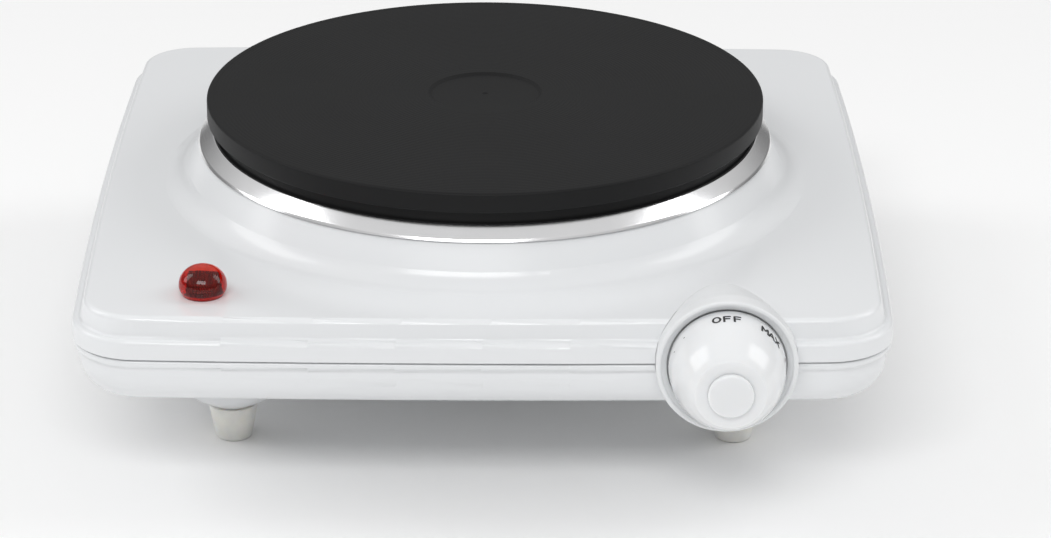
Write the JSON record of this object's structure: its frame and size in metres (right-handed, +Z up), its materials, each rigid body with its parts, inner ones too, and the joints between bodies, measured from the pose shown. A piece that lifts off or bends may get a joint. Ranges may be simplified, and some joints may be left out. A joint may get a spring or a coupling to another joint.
{
  "type": "single hot plate burner",
  "caption": "Tabletop electric burner: round cast plate with chrome trim ring on a square white housing, front heat dial, pilot lamp, rubber feet.",
  "frame": {"origin": "centre of the overall footprint, on the table under the feet", "axes": "+Z up, -Y towards the user, where the dial and the pilot lamp are; +X to the user's right"},
  "size_m": [0.2286, 0.2546, 0.0825],
  "materials": {
    "white_enamel": "smooth white baked enamel, satin to gloss",
    "white_plastic": "moulded white, semi-gloss",
    "knob_plastic": "moulded white, satin",
    "foot_rubber": "translucent off-white, matt",
    "zinc_steel": "zinc-plated steel",
    "brass": "plain brass",
    "spring_metal": "rolled spring strip",
    "silver": "silver contact rivets",
    "ceramic": "unglazed steatite",
    "ceramic_packing": "pressed magnesia packing, matt",
    "cast_iron": "fine-turned, heat-resistant dark coating",
    "element_alloy": "heating sheath, dull",
    "chrome": "bright polished",
    "shield_aluminium": "mill finish",
    "block_plastic": "natural moulding",
    "lead_brown": "insulated lead",
    "lead_white": "braided glass sleeving",
    "lead_blue": "insulated lead",
    "lead_green": "insulated lead, green with yellow",
    "red_lens": "translucent red",
    "bulb_glass": "clear",
    "gland_rubber": "light moulded, matt"
  },
  "bodies": {
    "housing": {"top_cover": "white_enamel", "base_pan": "white_enamel", "cover_posts": "zinc_steel", "cover_screws": "zinc_steel", "rubber_feet": "foot_rubber", "foot_screws": "zinc_steel", "foot_nuts": "zinc_steel", "knob_bezel": "white_plastic", "spindle_bush": "brass", "spindle_nut": "brass", "thermostat_bracket": "zinc_steel", "ceramic_stack": "ceramic", "stack_screw": "zinc_steel", "bimetal_blade": "spring_metal", "bimetal_terminal": "brass", "leaf_terminal": "brass", "bimetal_contact": "silver", "tab_receptacles": "brass", "heating_plate": "cast_iron", "element_coil": "element_alloy", "element_packing": "ceramic_packing", "element_pins": "zinc_steel", "pin_beads": "ceramic", "plate_back": "zinc_steel", "trim_ring": "chrome", "clamp_bridge": "zinc_steel", "plate_stud": "zinc_steel", "stud_washer": "zinc_steel", "stud_nuts": "zinc_steel", "heat_shield": "shield_aluminium", "pin_crimps": "zinc_steel", "terminal_block": "block_plastic", "terminal_sleeves": "brass", "terminal_screws": "zinc_steel", "block_bolt": "zinc_steel", "earth_bolt": "zinc_steel", "earth_tag": "brass", "thermal_fuse": "shield_aluminium", "fuse_clip": "zinc_steel", "lead_live": "lead_brown", "lead_heater": "lead_white", "lead_neutral": "lead_blue", "lead_earth": "lead_green", "lamp_leads": "lead_white", "pilot_lens": "red_lens", "pilot_bulb": "bulb_glass", "pilot_plug": "block_plastic", "pilot_clip": "spring_metal", "cord_gland": "gland_rubber"},
    "dial": {"knob": "knob_plastic", "knob_cap": "knob_plastic", "knob_spring": "zinc_steel", "spindle": "zinc_steel", "spindle_cam": "white_plastic"},
    "contact_arm": {"contact_leaf": "spring_metal", "follower_bead": "ceramic", "leaf_contact": "silver"}
  },
  "joints": [
    {"name": "knob_turn", "type": "hinge", "parent": "housing", "child": "dial", "pos_m": [0.066, -0.10815, 0.047], "axis": [0, 1, 0], "range_deg": [0, 310]},
    {"name": "leaf_flex", "type": "hinge", "parent": "housing", "child": "contact_arm", "pos_m": [0.066, -0.0798, 0.04025], "axis": [1, 0, 0], "range_deg": [0, 5.5]}
  ],
  "couplings": [
    {"joint": "leaf_flex", "follows": "knob_turn", "ratio": 0.017161}
  ]
}
